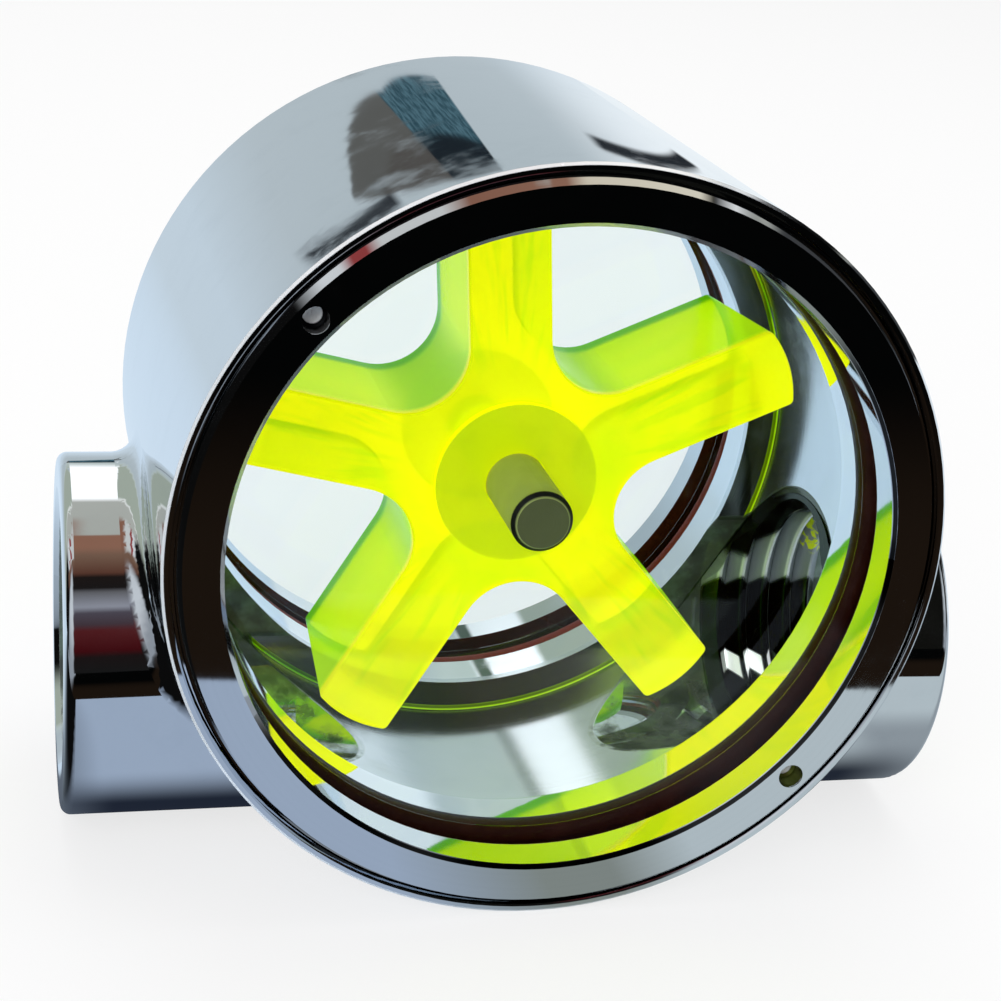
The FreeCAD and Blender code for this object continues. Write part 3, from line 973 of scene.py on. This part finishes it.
def walls_over(shader, x, y, z, lift, tone):
    """Dark wall at the front right, panels on the ceiling, curtains and pale walls at the sides."""
    front = shader.step(y, 0.05, -0.15)
    front_right = front * shader.step(x, 0.14, 0.24) * shader.step(z, 0.99, 0.96)
    tone = shader.mix(front_right, tone, shader.mix(shader.step(z, 0.86, 0.93), FRONT_WALL, FRONT_CEILING))
    over_boss = shader.band(x, 0.035, 0.09, 0.01) * shader.step(lift, 0.478, 0.486)
    over_ring = shader.band(lift, 0.42, 0.55, 0.02) * (1 - over_boss)
    tone = shader.mix(over_ring, tone, shader.ramp((x + 1.0) * 0.5, CEILING_PANELS))
    tone = shader.mix(shader.step(y, 0.30, 0.10) * shader.step(x, -0.78, -0.88), tone, LEFT_CURTAIN)
    beside = shader.step(y, -0.3, -0.5) * (shader.step(x, -0.15, -0.40) + shader.step(x, 0.50, 0.70))
    tone = shader.mix(beside * 0.9, tone, shader.mix(shader.step(z, 0.0, 0.5), SIDE_WALL, SIDE_CEILING))
    right_wall = (1 - front) * shader.step(x, 0.24, 0.38) * shader.step(z, 0.34, 0.26)
    tone = shader.mix(right_wall, tone, RIGHT_WALL)
    curtain = shader.step(x, 0.74, 0.80) * shader.step(lift, 0.55, 0.57) * shader.step(lift, 0.92, 0.88)
    return shader.mix(curtain, tone, RIGHT_CURTAIN)


def pane_over(shader, direction, tone):
    """Small dark wedges low at the back, and a pane that is olive on the left and teal on the right."""
    x, y, z = shader.components(direction)
    left_wedge = shader.band(y, 0.9564, 0.9586, 0.0004) * shader.band(x, -0.235, -0.075, 0.01)
    right_wedge = shader.band(y + x * 0.178, 0.9925, 0.9955, 0.0006) * shader.step(x, 0.285, 0.30)
    tone = shader.mix((left_wedge + right_wedge) * shader.step(z, -0.02, 0.0), tone, WEDGE)
    behind = 1 - shader.step(y, 0.05, -0.15)
    pane = behind * shader.step(z + x.at_least(0.04) * 0.234, 0.2525, 0.2555)
    pane = pane * shader.step(x + z * 0.365, 0.2232, 0.2202) * shader.step(y + x * 0.042, 0.9549, 0.9553)
    near_side = shader.step(z, 0.268, 0.274)
    speckle = shader.step(shader.noise(direction, 260.0, 2.0), 0.40, 0.60)
    olive = shader.mix(near_side, OLIVE_FAR, OLIVE_NEAR)
    teal = shader.mix(near_side, shader.mix(speckle, TEAL_DARK, TEAL_PALE), TEAL_NEAR)
    return shader.mix(pane, tone, shader.mix(shader.step(x, 0.028, 0.032), olive, teal))


def surround_colour(shader, direction):
    """Studio as polished metal sees it: dark in front, white overhead, pale blue-grey behind.

    Its masks go by a unit direction, x to the right, y to the back and z up, and by its lift, which is
    0 in front, 0.5 overhead and 1 behind.
    """
    x, y, z = shader.components(direction)
    lift = shader.maths("ARCTAN2", z.at_least(0.0), 0 - y) / math.pi
    tone = walls_over(shader, x, y, z, lift, lamp_arc(shader, x, lift))
    return pane_over(shader, direction, tone)


def make_surround(scene, settings):
    """World: white to the camera, the studio to polished metal, even soft light to all else."""
    world = bpy.data.worlds.new("studio_surround")
    world.use_nodes = True
    scene.world = world
    shader = Shader(world.node_tree)
    direction = shader.node("ShaderNodeTexCoord", output="Generated")
    soft = (settings.soft_light,) * 3
    seen = shader.ray("Is Camera Ray").at_least(shader.ray("Is Transmission Ray"))
    tone = shader.mix(shader.ray("Is Glossy Ray"), soft, surround_colour(shader, direction))
    tone = shader.mix(seen, tone, WHITE)
    shader.finish(shader.node("ShaderNodeBackground", None, {"Color": tone}), "ShaderNodeOutputWorld")


def mirrored_floor(shader, settings):
    """Floor as polished metal sees it: pale round the object, painted shadow under it, dark past its front
    edge.
    """
    x, y, _ = shader.components(shader.place())
    across = shader.ramp((x + 30.0) / 60.0, [
        (0.00, settings.floor_edge),
        (0.10, settings.floor_edge),
        (0.17, settings.floor_left),
        (0.40, settings.floor_left),
        (0.52, settings.floor_middle),
        (0.58, settings.floor_middle),
        (0.66, settings.floor_right),
    ])
    at_right = shader.step(x, 18.0, 22.0) * shader.step(y, -17.0, -11.0)
    pale = shader.mix(at_right, across, settings.floor_side)
    rear = shader.mix(shader.step(y, 60.0, 260.0), settings.floor_rear, HORIZON)
    rear = shader.mix(shader.step(x, 30.0, 100.0), rear, settings.floor_bright)
    pale = shader.mix(shader.step(y, -10.0, 20.0), pale, rear)
    # Painted shadow: the mirrored floor darkens under the object.
    contact_shadow = shader.step(abs(y), 10.0, 5.0) * shader.step(abs(x), 27.0, 19.0)
    pale = shader.mix(contact_shadow * 0.98, pale, settings.floor_contact_shadow)
    dark = shader.mix(shader.step(y, -55.0, -100.0), settings.floor_dark, settings.floor_far)
    beside = shader.step(x, -40.0, -90.0) + shader.step(x + y * 0.7, 40.0, 90.0)
    dark = shader.mix(beside, dark, settings.floor_beside)
    front = settings.floor_front / MM
    return shader.mix(shader.step(y - x * 0.1, front + 0.3, front - 0.3), pale, dark)


def floor_material(settings):
    """White to the camera but for a soft shadow, and a studio floor to polished metal."""
    material, shader = new_material("studio_floor")
    seen = shader.ray("Is Camera Ray")
    paper = shader.mix(seen, settings.floor_rear, settings.floor_paper)
    matt = shader.node("ShaderNodeBsdfDiffuse", None, {"Color": paper})
    shown = shader.blend(seen * (1 - settings.floor_shadow), matt, shader.shine(WHITE))
    mirrored = shader.shine(mirrored_floor(shader, settings))
    shader.finish(shader.blend(shader.ray("Is Glossy Ray"), shown, mirrored))
    return material


def make_floor(settings):
    """Plain floor that the body stands on."""
    grid = bmesh.new()
    bmesh.ops.create_grid(grid, x_segments=8, y_segments=8, size=settings.floor_size / 2,
                          matrix=Matrix.Translation((0, 0, BODY_LOW.z)))
    floor = new_object("floor", new_mesh("floor", grid))
    floor.data.materials.append(floor_material(settings))


def make_softbox(name, place, width, power):
    """Square soft lamp that points at the object and leaves no patch in the plating."""
    lamp = bpy.data.lights.new(name, "AREA")
    lamp.size = width
    lamp.energy = power
    softbox = new_object(name, lamp)
    softbox.location = place
    softbox.rotation_euler = Vector(place).to_track_quat("Z", "Y").to_euler()
    softbox.visible_glossy = False


def make_camera(scene, settings):
    """Camera at the photograph's viewing angle, leaning with the picture."""
    level = math.cos(settings.elevation)
    back = Vector((math.sin(settings.azimuth) * level, -math.cos(settings.azimuth) * level,
                   math.sin(settings.elevation)))
    data = bpy.data.cameras.new("camera")
    data.lens = settings.lens
    data.clip_start = settings.distance / 100
    camera = new_object("camera", data)
    upright = back.to_track_quat("Z", "Y").to_matrix().to_4x4()
    lean = Matrix.Rotation(settings.roll, 4, "Z")
    place = Vector(settings.target) + back * settings.distance
    camera.matrix_world = Matrix.Translation(place) @ upright @ lean
    scene.camera = camera


class INDICATOR_OT_stage(bpy.types.Operator):
    """Set up the floor, the studio light and the camera"""
    bl_idname = "indicator.stage"
    bl_label = "Studio stage"

    def execute(self, context):
        scene = context.scene
        settings = scene.indicator_stage
        make_surround(scene, settings)
        make_floor(settings)
        make_softbox("overhead_softbox", place=(0.05, 0.10, 0.45), width=0.35, power=0.9)
        make_softbox("front_softbox", place=(-0.22, -0.36, 0.24), width=0.25, power=0.9)
        make_camera(scene, settings)
        scene.view_settings.view_transform = "Standard"
        return {"FINISHED"}


PIECE_OPERATORS = [
    INDICATOR_OT_body,
    INDICATOR_OT_rings,
    INDICATOR_OT_windows,
    INDICATOR_OT_seals,
    INDICATOR_OT_impeller,
    INDICATOR_OT_shaft,
    INDICATOR_OT_threads,
    INDICATOR_OT_stage,
]


class INDICATOR_PT_pieces(bpy.types.Panel):
    """Lists the pieces of the indicator"""
    bl_idname = "INDICATOR_PT_pieces"
    bl_label = "Water flow indicator"
    bl_space_type = "VIEW_3D"
    bl_region_type = "UI"
    bl_category = "Indicator"

    def draw(self, context):
        for operator in PIECE_OPERATORS:
            self.layout.operator(operator.bl_idname)


SETTINGS = {
    "indicator_plating": PlatingSettings,
    "indicator_thread": ThreadSettings,
    "indicator_windows": WindowSettings,
    "indicator_seals": SealSettings,
    "indicator_plastic": PlasticSettings,
    "indicator_shaft": ShaftSettings,
    "indicator_stage": StageSettings,
}


def register():
    for name, group in SETTINGS.items():
        bpy.utils.register_class(group)
        setattr(bpy.types.Scene, name, PointerProperty(type=group))
    for operator in PIECE_OPERATORS:
        bpy.utils.register_class(operator)
    bpy.utils.register_class(INDICATOR_PT_pieces)


def unregister():
    bpy.utils.unregister_class(INDICATOR_PT_pieces)
    for operator in reversed(PIECE_OPERATORS):
        bpy.utils.unregister_class(operator)
    for name, group in reversed(SETTINGS.items()):
        delattr(bpy.types.Scene, name)
        bpy.utils.unregister_class(group)


def main():
    register()
    for operator in PIECE_OPERATORS:
        group, name = operator.bl_idname.split(".")
        getattr(getattr(bpy.ops, group), name)()


if __name__ == "__main__":
    main()
